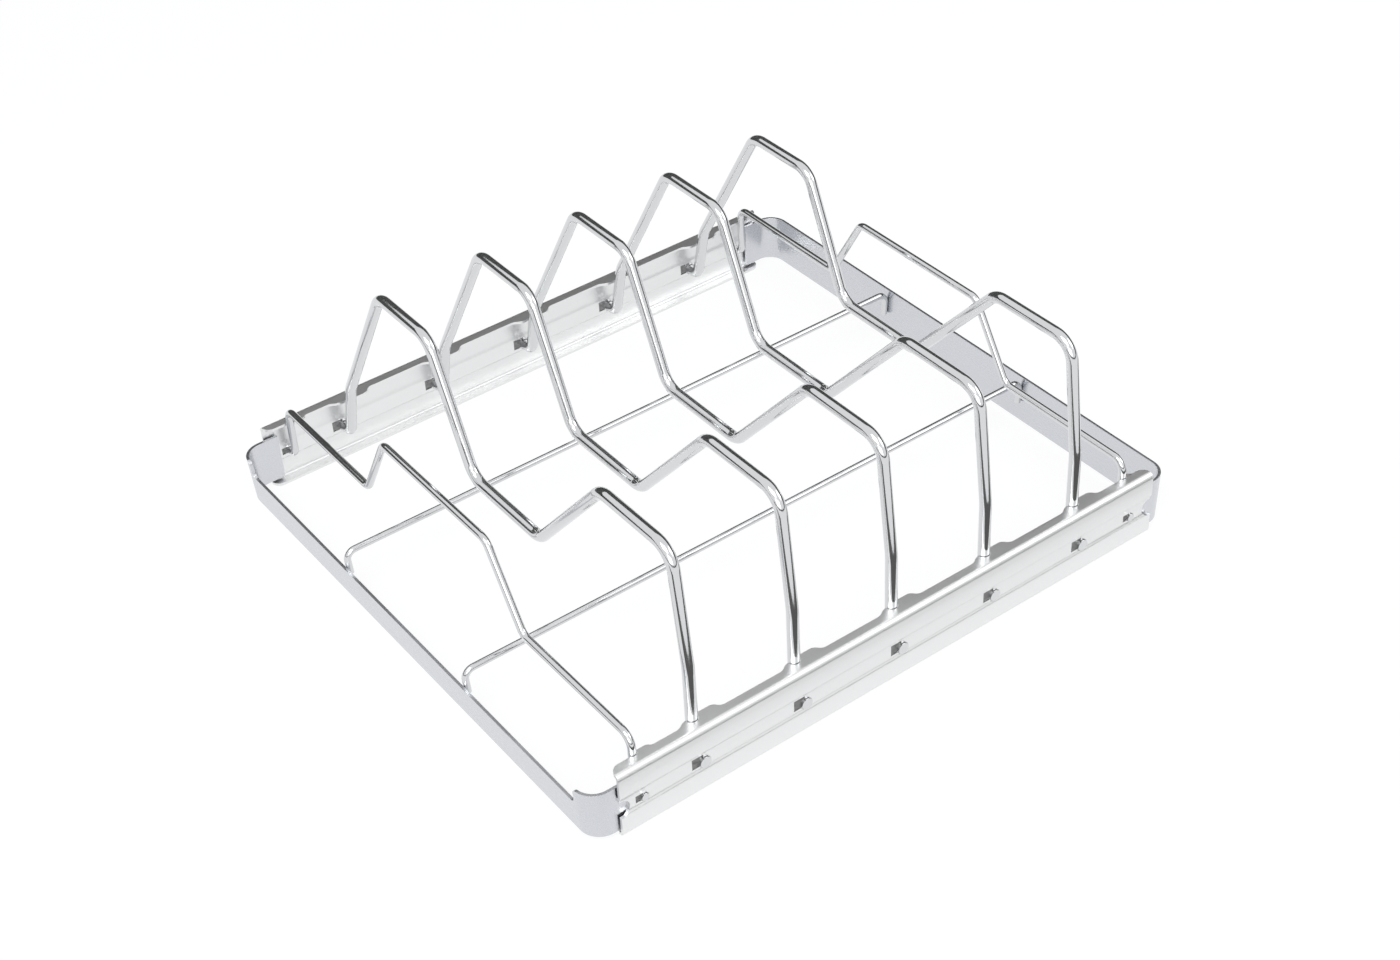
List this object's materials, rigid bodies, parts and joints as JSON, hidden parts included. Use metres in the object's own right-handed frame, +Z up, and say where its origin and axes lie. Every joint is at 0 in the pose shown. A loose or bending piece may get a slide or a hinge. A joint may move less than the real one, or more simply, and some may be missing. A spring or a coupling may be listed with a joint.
{
  "type": "rib rack",
  "caption": "Oven rack for ribs: a rectangular frame of folded channel rails and end strips that carries tall double-crested ribs of bent steel wire",
  "frame": {"origin": "middle of the resting face, at the height of the rails' lower flanges", "axes": "X runs along the two channel rails, Y from the front rail to the rear rail, Z up"},
  "size_m": [0.354, 0.325, 0.1365],
  "materials": {
    "rail_sheet": "satin stainless sheet",
    "strip_sheet": "satin stainless sheet",
    "rib_steel": "bright drawn stainless wire"
  },
  "bodies": {
    "root": {"front_rail": "rail_sheet", "rear_rail": "rail_sheet", "left_end_strip": "strip_sheet", "right_end_strip": "strip_sheet", "rib_wire_1": "rib_steel", "rib_wire_2": "rib_steel", "rib_wire_3": "rib_steel", "rib_wire_4": "rib_steel", "rib_wire_5": "rib_steel", "left_end_wire": "rib_steel", "right_end_wire": "rib_steel", "front_cross_wire": "rib_steel", "rear_cross_wire": "rib_steel"}
  },
  "joints": []
}
